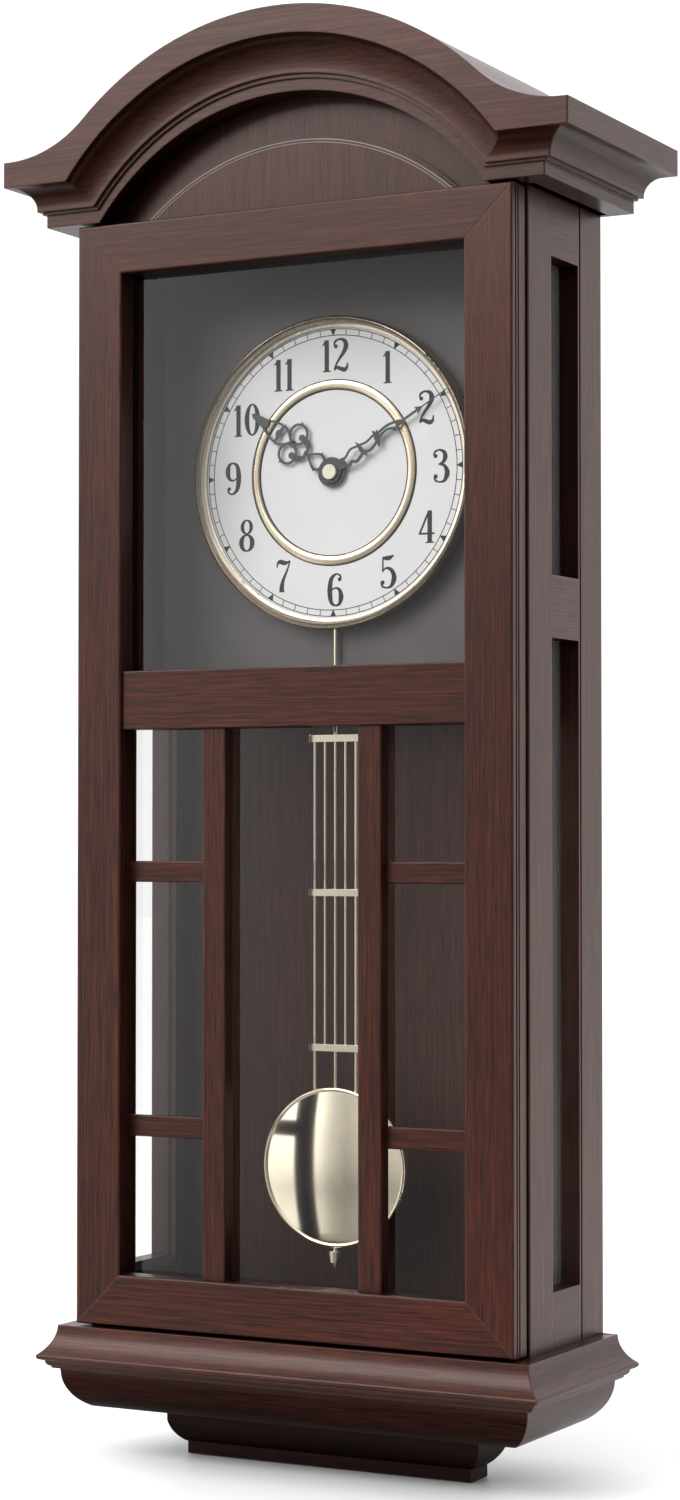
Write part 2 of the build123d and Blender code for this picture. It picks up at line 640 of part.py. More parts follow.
def dial_parts():
    inner = CASE_HALF - SIDE_T
    board = block((-inner, inner), DIAL_BOARD_Y, DIAL_BOARD_Z) - rod_y(0, DIAL_Z, BUSH_R + 0.1, 40, 60)
    board = board - block((-9, 9), (40, 60), (344, 358))
    write("dial_board", board)
    batten_z = (DIAL_BOARD_Z[0], WINDOW_Z[1][1] + SIDE_REBATE)
    write("dial_battens", pair(block((POST_INNER - BATTEN_W, POST_INNER), BATTEN_Y, batten_z)))
    plate = rod_y(0, DIAL_Z, DIAL_R, DIAL_FACE, DIAL_FACE + DIAL_T)
    write("dial_plate", plate - rod_y(0, DIAL_Z, BUSH_R + 0.1, 40, 60))
    back = DIAL_BOARD_Y[0]
    bezel = ring_y([
        Line((BEZEL_R, back), (BEZEL_R, 42.6)),
        ThreePointArc((BEZEL_R, 42.6), (BEZEL_R - 0.5, 41.5), (BEZEL_R - 1.5, BEZEL_FRONT)),
        Line((BEZEL_R - 1.5, BEZEL_FRONT), (BEZEL_R - 2.1, 41.5)),
        ThreePointArc((BEZEL_R - 2.1, 41.5), (73.0, 43.9), (BEZEL_INNER_R, 45.0)),
        Line((BEZEL_INNER_R, 45.0), (BEZEL_INNER_R, DIAL_FACE)),
        Line((BEZEL_INNER_R, DIAL_FACE), (DIAL_R + 0.1, DIAL_FACE)),
        Line((DIAL_R + 0.1, DIAL_FACE), (DIAL_R + 0.1, back)),
        Line((DIAL_R + 0.1, back), (BEZEL_R, back)),
    ], DIAL_Z)
    write("bezel", bezel - block((-10, 10), (DIAL_FACE + DIAL_T, back + 1), (300, DIAL_Z - 50)))
    face = DIAL_FACE
    ring = ring_y([
        Line((RING_R[0], face), (RING_R[0], face - 0.5)),
        ThreePointArc((RING_R[0], face - 0.5), (sum(RING_R) / 2, face - 1.0), (RING_R[1], face - 0.5)),
        Line((RING_R[1], face - 0.5), (RING_R[1], face)),
        Line((RING_R[1], face), (RING_R[0], face)),
    ], DIAL_Z)
    write("dial_ring", ring)


def hand(points, hub_r, bore_r, depth, clock_angle):
    """A flat hand, drawn pointing up, turned clockwise to its place."""
    right = points
    left = [(-x, z) for x, z in reversed(points) if x > 0]
    outline = make_face(Polyline(*(right + left), close=True))
    sketch = outline + Circle(hub_r)
    flat = slab(sketch - Circle(bore_r), *depth)
    return Pos(0, 0, DIAL_Z) * (Rotation(0, clock_angle, 0) * flat)


def hand_parts():
    minute = [
        (0, MINUTE_LEN), (0.5, 56.0), (2.2, 51.5), (1.0, 47.5), (1.2, 42.0),
        (3.4, 34.0), (3.8, 27.0), (3.4, 20.0), (2.8, 12.0), (2.2, 4.0),
    ]
    hour = [
        (0, HOUR_LEN), (2.2, 48.0), (2.8, 42.0), (5.6, 35.0), (8.8, 30.5), (10.2, 25.0),
        (7.6, 21.0), (3.0, 18.0), (3.4, 12.0), (3.0, 5.0),
    ]
    write("minute_hand", hand(minute, 5.6, MINUTE_SHAFT_R, MINUTE_HAND_Y, 60.0))
    write("hour_hand", hand(hour, HOUR_HUB_R, HOUR_PIPE_R[1], HOUR_HAND_Y, 305.0))
    cap = rod_y(0, DIAL_Z, CAP_R, MINUTE_HAND_Y[0] - 1.4, MINUTE_HAND_Y[0])
    write("hand_nut", cap - rod_y(0, DIAL_Z, MINUTE_SHAFT_R, SHAFT_FRONT, 60))


# ---------------------------------------------------------------- movement
def gear(teeth, module, half_step):
    """A flat toothed outline with slack teeth; half_step starts it on a gap instead of a tooth."""
    pitch_r = teeth * module / 2
    step = 2 * pi / teeth
    start = step / 2 if half_step else 0.0
    points = []
    for number in range(teeth):
        middle = start + number * step
        for share, radius in (
            (-0.27, pitch_r - 0.9 * module), (-0.18, pitch_r), (-0.09, pitch_r + 0.7 * module),
            (0.09, pitch_r + 0.7 * module), (0.18, pitch_r), (0.27, pitch_r - 0.9 * module),
        ):
            angle = middle + share * step
            points.append((radius * cos(angle), radius * sin(angle)))
    return make_face(Polyline(*points, close=True))


def movement_parts():
    half, (front, back) = MOVEMENT_HALF, MOVEMENT_Y
    wall = MOVEMENT_WALL
    low, high = DIAL_Z - half, DIAL_Z + half
    cover = block((-half, half), (front, front + wall), (low, high))
    cover = cover + block((-9, 9), (front, front + wall), (PIVOT_Z - 7, low))
    cover = cover + rod_y(0, PIVOT_Z, PIVOT_R, front + wall, front + wall + 4.4)
    cover = cover + rod_y(0, DIAL_Z, BUSH_R, BUSH_FRONT, front)
    cover = cover - rod_y(0, DIAL_Z, BUSH_BORE_R, BUSH_FRONT - 1, front + wall + 1)
    cover = cover - rod_y(SETTING_X, DIAL_Z, SETTING_R + 0.06, front - 1, front + wall + 1)
    shell = block((-half, half), (front + wall, back), (low, high))
    shell = shell - block((-half + wall, half - wall), (front, back - wall), (low + wall, high - wall))
    shell = shell - rod_y(SETTING_X, DIAL_Z, SETTING_R + 0.06, back - 5, back + 1)
    shell = shell - rod_y(0, DIAL_Z, MINUTE_SHAFT_R + 0.06, back - 5, back + 1)
    write("movement_cover", cover)
    write("movement_shell", shell)
    nut = slab(RegularPolygon(6.4, 6), BUSH_FRONT, DIAL_FACE)
    write("bush_nut", Pos(0, 0, DIAL_Z) * nut - rod_y(0, DIAL_Z, BUSH_R, 40, 60))
    cell = rod_x(CELL_Y, CELL_Z, CELL_R, -25.0, 24.0) + rod_x(CELL_Y, CELL_Z, 2.7, 24.0, 25.5)
    write("battery", cell)
    hour_layer = (57.2, 58.6)
    minute_layer = (59.4, 60.8)
    arbor = rod_y(0, DIAL_Z, MINUTE_SHAFT_R, SHAFT_FRONT, back)
    arbor = arbor + Pos(0, 0, DIAL_Z) * slab(gear(12, 0.5, False), *minute_layer)
    write("minute_arbor", arbor)
    hour = rod_y(0, DIAL_Z, HOUR_PIPE_R[1], HOUR_HAND_Y[0], hour_layer[0])
    hour = hour + Pos(0, 0, DIAL_Z) * slab(gear(40, 0.48, True), *hour_layer)
    write("hour_wheel", hour - rod_y(0, DIAL_Z, HOUR_PIPE_R[0], 40, 60))
    setting = rod_y(SETTING_X, DIAL_Z, SETTING_R, front, KNOB_Y[0])
    setting = setting + Pos(SETTING_X, 0, DIAL_Z) * slab(gear(36, 0.5, True), *minute_layer)
    setting = setting + Pos(SETTING_X, 0, DIAL_Z) * slab(gear(10, 0.48, False), *hour_layer)
    knob = rod_y(SETTING_X, DIAL_Z, KNOB_R, *KNOB_Y)
    for number in range(KNOB_FLUTES):
        angle = 2 * pi * number / KNOB_FLUTES
        x, z = SETTING_X + (KNOB_R + 0.5) * cos(angle), DIAL_Z + (KNOB_R + 0.5) * sin(angle)
        knob = knob - rod_y(x, z, 0.9, KNOB_Y[0] - 1, KNOB_Y[1] + 1)
    write("setting_wheel", setting + knob)


# ---------------------------------------------------------------- pendulum
def pendulum_parts():
    y = PENDULUM_Y
    front = MOVEMENT_Y[0] + MOVEMENT_WALL
    arm_y = (front + 0.7, front + 2.3)
    arm = rod_y(0, PIVOT_Z, 4.2, *arm_y) + block((-3, 3), arm_y, (350.4, PIVOT_Z))
    arm = arm + block((-2.5, 2.5), (DIAL_FACE + DIAL_T + 0.3, arm_y[1]), (350.4, 353.8))
    arm = arm - rod_y(0, PIVOT_Z, PIVOT_R + 0.05, 50, 70) - rod_z(0, y, ROD_R, 345, 353)
    write("pendulum_hanger", arm)
    top_bar = LYRE_BARS_Z[0] + LYRE_BAR_H / 2
    write("pendulum_rod", rod_z(0, y, ROD_R, top_bar, 353))
    lyre = None
    for z in LYRE_BARS_Z:
        bar = block(
            (-LYRE_HALF, LYRE_HALF), (y - 1.2, y + 1.2), (z - LYRE_BAR_H / 2, z + LYRE_BAR_H / 2)
        )
        lyre = bar if lyre is None else lyre + bar
    for number in range(-2, 3):
        x = number * LYRE_PITCH
        bob_edge = BOB_Z + sqrt(BOB_R**2 - x**2)
        foot = bob_edge - 0.6 if number % 2 == 0 else LYRE_BARS_Z[2]
        lyre = lyre + rod_z(x, y, LYRE_ROD_R, foot, LYRE_BARS_Z[0])
    dome_edge = BOB_R - 2.0
    dome_r = (dome_edge**2 + BOB_DOME**2) / (2 * BOB_DOME)
    quarter_angle = asin(dome_edge / dome_r) / 2
    crest = y - 1.8 - BOB_DOME
    dome_middle = (dome_r * sin(quarter_angle), crest + dome_r * (1 - cos(quarter_angle)))
    bob = ring_y([
        Line((0, crest), (0, y + 2.0)),
        Line((0, y + 2.0), (BOB_R - 0.4, y + 2.0)),
        Line((BOB_R - 0.4, y + 2.0), (BOB_R, y + 1.6)),
        Line((BOB_R, y + 1.6), (BOB_R, y - 1.6)),
        ThreePointArc((BOB_R, y - 1.6), (BOB_R - 1.0, y - 2.6), (dome_edge, y - 1.8)),
        ThreePointArc((dome_edge, y - 1.8), dome_middle, (0, crest)),
    ], BOB_Z)
    nut_z = (31.0, 36.4)
    write("lyre", lyre - bob)
    write("bob", bob + rod_z(0, y, STUD_R, STUD_Z, BOB_Z - BOB_R + 1.5))
    nut = rod_z(0, y, 4.0, *nut_z) - rod_z(0, y, STUD_R, 20, 40)
    write("rating_nut", nut)


door_parts()
catch_parts()
hinge_parts()
case_parts()
crown_parts()
base_parts()
dial_parts()
hand_parts()
movement_parts()
pendulum_parts()
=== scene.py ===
from math import acos, cos, hypot, pi, radians, sin

import bpy
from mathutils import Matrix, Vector


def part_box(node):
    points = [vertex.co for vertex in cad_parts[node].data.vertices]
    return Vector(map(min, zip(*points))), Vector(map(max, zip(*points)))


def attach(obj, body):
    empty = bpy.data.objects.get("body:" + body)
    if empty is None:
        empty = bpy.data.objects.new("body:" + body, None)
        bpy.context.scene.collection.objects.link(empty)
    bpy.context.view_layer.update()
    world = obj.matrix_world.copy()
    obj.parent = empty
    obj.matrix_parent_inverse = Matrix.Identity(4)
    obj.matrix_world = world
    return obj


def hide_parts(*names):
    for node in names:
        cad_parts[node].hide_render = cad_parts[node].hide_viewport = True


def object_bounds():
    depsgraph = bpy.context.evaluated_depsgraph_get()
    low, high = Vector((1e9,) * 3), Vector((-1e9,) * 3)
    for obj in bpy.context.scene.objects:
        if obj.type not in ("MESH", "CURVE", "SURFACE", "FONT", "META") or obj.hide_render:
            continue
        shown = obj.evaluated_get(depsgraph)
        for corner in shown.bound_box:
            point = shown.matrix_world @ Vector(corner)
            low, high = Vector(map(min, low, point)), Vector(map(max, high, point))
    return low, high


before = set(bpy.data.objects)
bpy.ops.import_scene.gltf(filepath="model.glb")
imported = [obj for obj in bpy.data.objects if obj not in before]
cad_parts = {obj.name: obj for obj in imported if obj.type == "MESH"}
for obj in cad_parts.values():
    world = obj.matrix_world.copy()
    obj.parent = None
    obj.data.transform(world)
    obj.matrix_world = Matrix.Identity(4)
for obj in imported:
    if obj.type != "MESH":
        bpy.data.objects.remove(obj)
cad_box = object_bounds()
scene = bpy.context.scene
MM = 0.001

dial_low, dial_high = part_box("dial_plate")
DIAL_X = (dial_low[0] + dial_high[0]) / 2
DIAL_Z = (dial_low[2] + dial_high[2]) / 2
DIAL_FACE = dial_low[1]
PIECE_SHIFT = 3.7              # how far apart two pieces may lie in a pattern, metres


# ---------------------------------------------------------------- node helpers
def new_material(name):
    """A material with nothing in it but its output."""
    material = bpy.data.materials.new(name)
    material.use_nodes = True
    nodes = material.node_tree.nodes
    nodes.clear()
    output = nodes.new("ShaderNodeOutputMaterial")
    return material, material.node_tree, output


def add(tree, kind, links=None, **settings):
    """A node with its settings and its incoming links."""
    node = tree.nodes.new(kind)
    for key, value in settings.items():
        setattr(node, key, value)
    for socket, source in (links or {}).items():
        tree.links.new(source, node.inputs[socket])
    return node


def ramp(tree, source, stops):
    node = tree.nodes.new("ShaderNodeValToRGB")
    elements = node.color_ramp.elements
    while len(elements) < len(stops):
        elements.new(0.5)
    for element, (place, colour) in zip(elements, stops):
        element.position = place
        element.color = (*colour, 1.0)
    tree.links.new(source, node.inputs["Fac"])
    return node.outputs["Color"]


def noise(tree, vector, detail=4.0, rough=0.55, distortion=0.0):
    node = add(tree, "ShaderNodeTexNoise", {"Vector": vector})
    node.inputs["Scale"].default_value = 1.0
    node.inputs["Detail"].default_value = detail
    node.inputs["Roughness"].default_value = rough
    node.inputs["Distortion"].default_value = distortion
    return node.outputs["Fac"]


def maths(tree, operation, a, b=0.0):
    node = tree.nodes.new("ShaderNodeMath")
    node.operation = operation
    for socket, value in zip(node.inputs, (a, b)):
        if hasattr(value, "links"):
            tree.links.new(value, socket)
        else:
            socket.default_value = value
    return node.outputs[0]


def mix_colour(tree, factor, a, b, blend="MIX"):
    node = tree.nodes.new("ShaderNodeMix")
    node.data_type = "RGBA"
    node.blend_type = blend
    sockets = [s for s in node.inputs if s.type == "RGBA"]
    if hasattr(factor, "links"):
        tree.links.new(factor, node.inputs[0])
    else:
        node.inputs[0].default_value = factor
    for socket, value in zip(sockets, (a, b)):
        if hasattr(value, "links"):
            tree.links.new(value, socket)
        else:
            socket.default_value = (*value, 1.0)
    return [s for s in node.outputs if s.type == "RGBA"][0]


def multiply(tree, a, b):
    return mix_colour(tree, 1.0, a, b, "MULTIPLY")


def grey(value):
    return (value, value, value)


def component(tree, vector, axis):
    """One of a vector's three components."""
    return add(tree, "ShaderNodeSeparateXYZ", {0: vector}).outputs["XYZ".index(axis)]


def object_point(tree):
    return add(tree, "ShaderNodeTexCoord").outputs["Object"]


def principled(tree, output, links, **values):
    shader = add(tree, "ShaderNodeBsdfPrincipled")
    for name, value in values.items():
        shader.inputs[name.replace("_", " ")].default_value = value
    for name, source in links.items():
        tree.links.new(source, shader.inputs[name])
    tree.links.new(shader.outputs[0], output.inputs["Surface"])


def pattern(tree, scale):
    """Object coordinates, stretched, and moved by a different amount on every piece."""
    random = add(tree, "ShaderNodeObjectInfo").outputs["Random"]
    step = maths(tree, "MULTIPLY", random, PIECE_SHIFT)
    offset = add(tree, "ShaderNodeCombineXYZ", {"X": step, "Y": step, "Z": step}).outputs[0]
    moved = add(tree, "ShaderNodeVectorMath", {0: object_point(tree), 1: offset}, operation="ADD")
    mapping = add(tree, "ShaderNodeMapping", {"Vector": moved.outputs[0]})
    mapping.inputs["Scale"].default_value = scale
    return mapping.outputs["Vector"]


def bump(tree, height, strength, distance, normal=None):
    node = add(tree, "ShaderNodeBump", {"Height": height})
    node.inputs["Strength"].default_value = strength
    node.inputs["Distance"].default_value = distance
    if normal is not None:
        tree.links.new(normal, node.inputs["Normal"])
    return node.outputs["Normal"]


def soft_edges(tree, radius):
    """Shades sharp arrises as slightly rounded ones."""
    node = add(tree, "ShaderNodeBevel", samples=4)
    node.inputs["Radius"].default_value = radius
    return node.outputs["Normal"]


def about_axis(tree, centre_x, centre_z):
    """Distances across, up and outwards from an axis that runs from front to back."""
    across = maths(tree, "SUBTRACT", component(tree, object_point(tree), "X"), centre_x)
    up = maths(tree, "SUBTRACT", component(tree, object_point(tree), "Z"), centre_z)
    squares = [maths(tree, "MULTIPLY", value, value) for value in (across, up)]
    return across, up, maths(tree, "SQRT", maths(tree, "ADD", *squares))


# ---------------------------------------------------------------- materials
WOOD_DARK = (0.018, 0.0045, 0.0030)
WOOD_MID = (0.042, 0.0105, 0.0060)
WOOD_RED = (0.080, 0.0200, 0.0100)
WOOD_EDGE_HIGHLIGHT = (0.150, 0.0700, 0.0520)
LACQUER_TINT = (1.0, 0.84, 0.80, 1.0)
HOLLOW_REACH = 35.0 * MM       # how far a surface looks for others that shade it
PLAIN_LACQUER = 0.5
REFLECTION_FILM = (0.80, 0.77, 0.77, 1.0)
METAL_ROUND = 0.2 * MM
COATED_ROUND = 0.15 * MM
BRUSHED = 900.0                # cells to the metre of the finest marks on metal
MOTTLED = 45.0                 # and of the clouds in paint and plastic


def wood_colour(tree, streaks, pores, broad, tone):
    """Stained streaks, dark pores and broad clouds, with painted shade darkening the hollows."""
    base = ramp(tree, streaks, [(0.28, WOOD_DARK), (0.50, WOOD_MID), (0.74, WOOD_RED)])
    pore_mask = ramp(tree, pores, [
        (0.34, (0.30, 0.26, 0.26)), (0.48, (1.0, 1.0, 1.0)), (0.66, (1.35, 1.28, 1.22)),
    ])
    base = mix_colour(tree, 0.9, base, pore_mask, "MULTIPLY")
    cloud = ramp(tree, broad, [
        (0.3, (0.75 * tone, 0.74 * tone, 0.75 * tone)), (0.7, (1.2 * tone, 1.12 * tone, 1.1 * tone)),
    ])
    base = multiply(tree, base, cloud)
    # Painted shade: the colour darkens where ambient occlusion finds other surfaces close by.
    occlusion = add(tree, "ShaderNodeAmbientOcclusion", samples=4)
    occlusion.inputs["Distance"].default_value = HOLLOW_REACH
    return multiply(tree, base, ramp(tree, occlusion.outputs["AO"], [(0.25, grey(0.22)), (0.85, grey(1.0))]))


def wood(name, axis, tone=1.0, edge=0.8, gloss=0.29, ior=1.38, shade_span=None, edge_highlight_share=0.75):
    """Stained mahogany with its grain along one axis: streaks, pores, arrises lightened by a painted
    highlight, painted shade on faces that look down, and a satin lacquer.
    """
    material, tree, output = new_material(name)

    def grain(across, length):
        return pattern(tree, tuple(length if letter == axis else across for letter in "XYZ"))

    # Cells to the metre, across the grain and along it.
    streaks = noise(tree, grain(900.0, 16.0), 4.0, 0.65, 0.1)
    pores = noise(tree, grain(1900.0, 60.0), 2.0, 0.5)
    broad = noise(tree, grain(30.0, 5.0), 3.0, 0.5)
    base = wood_colour(tree, streaks, pores, broad, tone)
    rounded = None
    if edge:
        rounded = soft_edges(tree, edge * MM)
        true_normal = add(tree, "ShaderNodeNewGeometry").outputs["True Normal"]
        turned = add(tree, "ShaderNodeVectorMath", {0: rounded, 1: true_normal}, operation="DOT_PRODUCT")
        # Painted highlight: where the rounded shading normal turns from the true face, the arris takes a
        # lighter colour.
        edge_highlight = ramp(tree, turned.outputs["Value"], [(0.80, grey(edge_highlight_share)), (0.985, grey(0.0))])
        base = mix_colour(tree, edge_highlight, base, WOOD_EDGE_HIGHLIGHT)
    height = maths(tree, "ADD", maths(tree, "MULTIPLY", pores, 0.8), maths(tree, "MULTIPLY", streaks, 0.5))
    normal = bump(tree, height, 0.12, 0.2 * MM, rounded)
    rough = ramp(tree, streaks, [(0.3, grey(gloss + 0.06)), (0.7, grey(gloss - 0.02))])
    # Painted shade: surfaces that face down are given a darker colour and a weaker lacquer sheen.
    upward = component(tree, add(tree, "ShaderNodeNewGeometry").outputs["Normal"], "Z")
    upward = maths(tree, "MULTIPLY", maths(tree, "ADD", upward, 1.0), 0.5)
    base = multiply(tree, base, ramp(tree, upward, [(0.15, grey(0.62)), (0.45, grey(1.0))]))
    shaded_lacquer = ramp(tree, upward, [(0.15, grey(0.16)), (0.45, grey(PLAIN_LACQUER))])
    # Painted shade: below the span the colour is darker and the lacquer sheen weaker, fading in across it.
    if shade_span:
        low, high = shade_span
        level = component(tree, object_point(tree), "Z")
        place = maths(tree, "DIVIDE", maths(tree, "SUBTRACT", level, low), high - low)
        base = multiply(tree, base, ramp(tree, place, [(0.0, grey(0.42)), (1.0, grey(1.0))]))
        shaded_lacquer = multiply(tree, shaded_lacquer, ramp(tree, place, [(0.0, grey(0.16)), (1.0, grey(1.0))]))
    links = {"Base Color": base, "Roughness": rough, "Normal": normal, "Specular IOR Level": shaded_lacquer}
    principled(tree, output, links, IOR=ior, Specular_Tint=LACQUER_TINT)
    return material


def clear_glass(name, ior, film):
    """A clear pane: reflects at its outer face, lets the rest through unbent and carries a pale diffuse film,
    a painted reflection.
    """
    material, tree, output = new_material(name)
    back = add(tree, "ShaderNodeNewGeometry").outputs["Backfacing"]
    front = maths(tree, "SUBTRACT", 1.0, back)
    fresnel = add(tree, "ShaderNodeFresnel")
    fresnel.inputs["IOR"].default_value = ior
    reflected = maths(tree, "MULTIPLY", fresnel.outputs[0], front)
    smears = noise(tree, pattern(tree, (14.0, 14.0, 14.0)), 2.0)
    through = add(tree, "ShaderNodeBsdfTransparent")
    tree.links.new(ramp(tree, smears, [(0.3, grey(0.975)), (0.7, grey(0.995))]), through.inputs["Color"])
    # Painted reflection: a pale diffuse film on the outer face lightens the pane as a reflection would.
    reflection_film = add(tree, "ShaderNodeBsdfDiffuse")
    reflection_film.inputs["Color"].default_value = REFLECTION_FILM
    reflection_share = maths(tree, "MULTIPLY", front, film)
    reflection_share = maths(tree, "MULTIPLY", ramp(tree, smears, [(0.3, grey(0.8)), (0.7, grey(1.0))]), reflection_share)
    pane = add(tree, "ShaderNodeMixShader", {0: reflection_share, 1: through.outputs[0], 2: reflection_film.outputs[0]})
    gloss = add(tree, "ShaderNodeBsdfGlossy")
    gloss.inputs["Roughness"].default_value = 0.03
    mixed = add(tree, "ShaderNodeMixShader", {0: reflected, 1: pane.outputs[0], 2: gloss.outputs[0]})
    tree.links.new(mixed.outputs[0], output.inputs["Surface"])
    return material


def spun_brass(name, bands):
    """Brass turned on a lathe about the dial's axis; `bands` gives its colour at each radius in mm."""
    material, tree, output = new_material(name)
    across, up, radius = about_axis(tree, DIAL_X, DIAL_Z)
    inner, outer = bands[0][0], bands[-1][0]
    place = maths(tree, "DIVIDE", maths(tree, "SUBTRACT", radius, inner * MM), (outer - inner) * MM)
    base = ramp(tree, place, [((r - inner) / (outer - inner), colour) for r, colour in bands])
    around = maths(tree, "MULTIPLY", maths(tree, "ARCTAN2", across, up), 2.2)
    outwards = maths(tree, "MULTIPLY", radius, 1400.0)
    spun = add(tree, "ShaderNodeCombineXYZ", {"X": around, "Y": outwards})
    streaks = noise(tree, spun.outputs[0], 4.0, 0.6)
    patina = ramp(tree, streaks, [(0.36, (0.58, 0.50, 0.44)), (0.56, grey(1.0))])
    base = mix_colour(tree, 0.75, base, patina, "MULTIPLY")
    rough = ramp(tree, streaks, [(0.3, grey(0.34)), (0.7, grey(0.20))])
    principled(tree, output, {"Base Color": base, "Roughness": rough}, Metallic=1.0)
    return material


def domed_normal(tree, centre_x, centre_z, edge, dome_radius):
    """The exact normal of a shallow dome that faces the front, and the mesh's own normal everywhere else."""
    mesh_normal = add(tree, "ShaderNodeNewGeometry").outputs["Normal"]
    across, up, radius = about_axis(tree, centre_x, centre_z)
    slopes = [maths(tree, "DIVIDE", value, dome_radius) for value in (across, up)]
    dome = add(tree, "ShaderNodeCombineXYZ", {"X": slopes[0], "Z": slopes[1]})
    dome.inputs["Y"].default_value = -1.0
    turned = add(
        tree, "ShaderNodeVectorTransform", {0: dome.outputs[0]},
        vector_type="NORMAL", convert_from="OBJECT", convert_to="WORLD",
    )
    exact = add(tree, "ShaderNodeVectorMath", {0: turned.outputs[0]}, operation="NORMALIZE").outputs[0]
    within = maths(tree, "LESS_THAN", radius, edge)
    facing = maths(tree, "LESS_THAN", component(tree, mesh_normal, "Y"), -0.8)
    return mix_colour(tree, maths(tree, "MULTIPLY", within, facing), mesh_normal, exact)


def metal(name, light, dark, rough, scale=60.0, dome=None):
    """Metal whose tone and polish wander a little."""
    material, tree, output = new_material(name)
    field = noise(tree, pattern(tree, grey(scale)), 5.0, 0.6)
    fine = noise(tree, pattern(tree, grey(BRUSHED)), 2.0)
    base = ramp(tree, field, [(0.35, dark), (0.65, light)])
    roughness = ramp(tree, field, [(0.3, grey(rough * 1.3)), (0.7, grey(rough))])
    smooth = domed_normal(tree, *dome) if dome else soft_edges(tree, METAL_ROUND)
    normal = bump(tree, fine, 0.15, 0.04 * MM, smooth)
    principled(tree, output, {"Base Color": base, "Roughness": roughness, "Normal": normal}, Metallic=1.0)
    return material


def coated(name, light, dark, rough, fine_scale=1800.0, depth=0.03 * MM, metallic=0.0):
    """Paint, plastic or rubber with a fine texture and slight mottling."""
    material, tree, output = new_material(name)
    field = noise(tree, pattern(tree, grey(MOTTLED)))
    fine = noise(tree, pattern(tree, grey(fine_scale)), 2.0)
    base = ramp(tree, field, [(0.3, dark), (0.7, light)])
    roughness = ramp(tree, fine, [(0.3, grey(rough * 0.9)), (0.7, grey(rough * 1.12))])
    normal = bump(tree, fine, 0.2, depth, soft_edges(tree, COATED_ROUND))
    links = {"Base Color": base, "Roughness": roughness, "Normal": normal}
    principled(tree, output, links, Metallic=metallic)
    return material


# The base's front carries painted shade: darker and duller below the tip of its moulding.
base_low, base_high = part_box("base_front")
BASE_TIP = base_low[2] + 0.60 * (base_high[2] - base_low[2])
BASE_FADE = 9.0 * MM

# The bob's polished face is a shallow dome inside a rolled rim.
bob_low, bob_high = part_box("bob")
BOB_X = (bob_low[0] + bob_high[0]) / 2
BOB_R = (bob_high[0] - bob_low[0]) / 2
BOB_Z = bob_high[2] - BOB_R
DOME_EDGE = BOB_R - 2.0 * MM
DOME_RISE = 2.8 * MM
DOME_RADIUS = (DOME_EDGE**2 + DOME_RISE**2) / (2 * DOME_RISE)

WOOD_X = wood("mahogany_x", "X")
WOOD_Y = wood("mahogany_y", "Y")
WOOD_Z = wood("mahogany_z", "Z")
WOOD_BASE = wood("mahogany_base", "X", shade_span=(BASE_TIP - BASE_FADE, BASE_TIP))
WOOD_PANEL = wood("mahogany_panel", "Z", edge=0.35, edge_highlight_share=1.0)
WOOD_SHADE = wood("mahogany_shade", "X", tone=0.45, gloss=0.5, ior=1.2)
WOOD_INSIDE = wood("mahogany_inside", "Z", edge=0.0, gloss=0.5)
DIAL_BOARD = coated("board_grey", (0.098, 0.085, 0.082), (0.080, 0.069, 0.066), 0.5)
# Only the side panes carry the painted reflection film.
DOOR_GLASS = clear_glass("door_glass_clear", 1.62, 0.0)
SIDE_GLASS = clear_glass("side_glass_clear", 1.52, 0.13)
BRASS = metal("brass_polished", (1.0, 0.91, 0.71), (0.97, 0.86, 0.65), 0.06)
BOB_BRASS = metal(
    "bob_brass", (1.0, 0.91, 0.71), (0.97, 0.87, 0.67), 0.10, dome=(BOB_X, BOB_Z, DOME_EDGE, DOME_RADIUS),
)
BRASS_AGED = metal("brass_aged", (0.78, 0.66, 0.44), (0.55, 0.44, 0.27), 0.24, 120.0)
# Besides the brass and its champagne patina, the bezel's bands hold a painted highlight and a painted shadow
# line along its profile.
BEZEL_BRASS = spun_brass("bezel_brass", [
    (70.6, (0.50, 0.44, 0.34)), (71.4, (0.78, 0.72, 0.60)), (73.2, (0.72, 0.64, 0.50)),
    (73.9, (0.30, 0.22, 0.14)), (74.3, (0.20, 0.14, 0.09)), (74.7, (0.86, 0.74, 0.54)),
    (75.2, (0.88, 0.76, 0.56)), (75.8, (0.42, 0.33, 0.22)),
])
# The ring's bright lines are painted highlights and its dark edges painted shade, over its brass tone.
RING_BRASS = spun_brass("ring_brass", [
    (40.6, (0.14, 0.10, 0.07)), (41.3, (0.70, 0.60, 0.44)), (42.0, (0.92, 0.84, 0.68)),
    (42.6, (0.60, 0.50, 0.36)), (43.4, (0.66, 0.56, 0.40)), (44.2, (0.90, 0.80, 0.62)),
    (44.9, (0.24, 0.18, 0.12)),
])
STEEL = metal("zinc_steel", (0.62, 0.62, 0.60), (0.50, 0.50, 0.49), 0.32)
DIAL_WHITE = coated("dial_white", (0.81, 0.805, 0.805), (0.785, 0.78, 0.78), 0.42)
INK = coated("dial_ink", (0.006, 0.006, 0.007), (0.003, 0.003, 0.0035), 0.6)
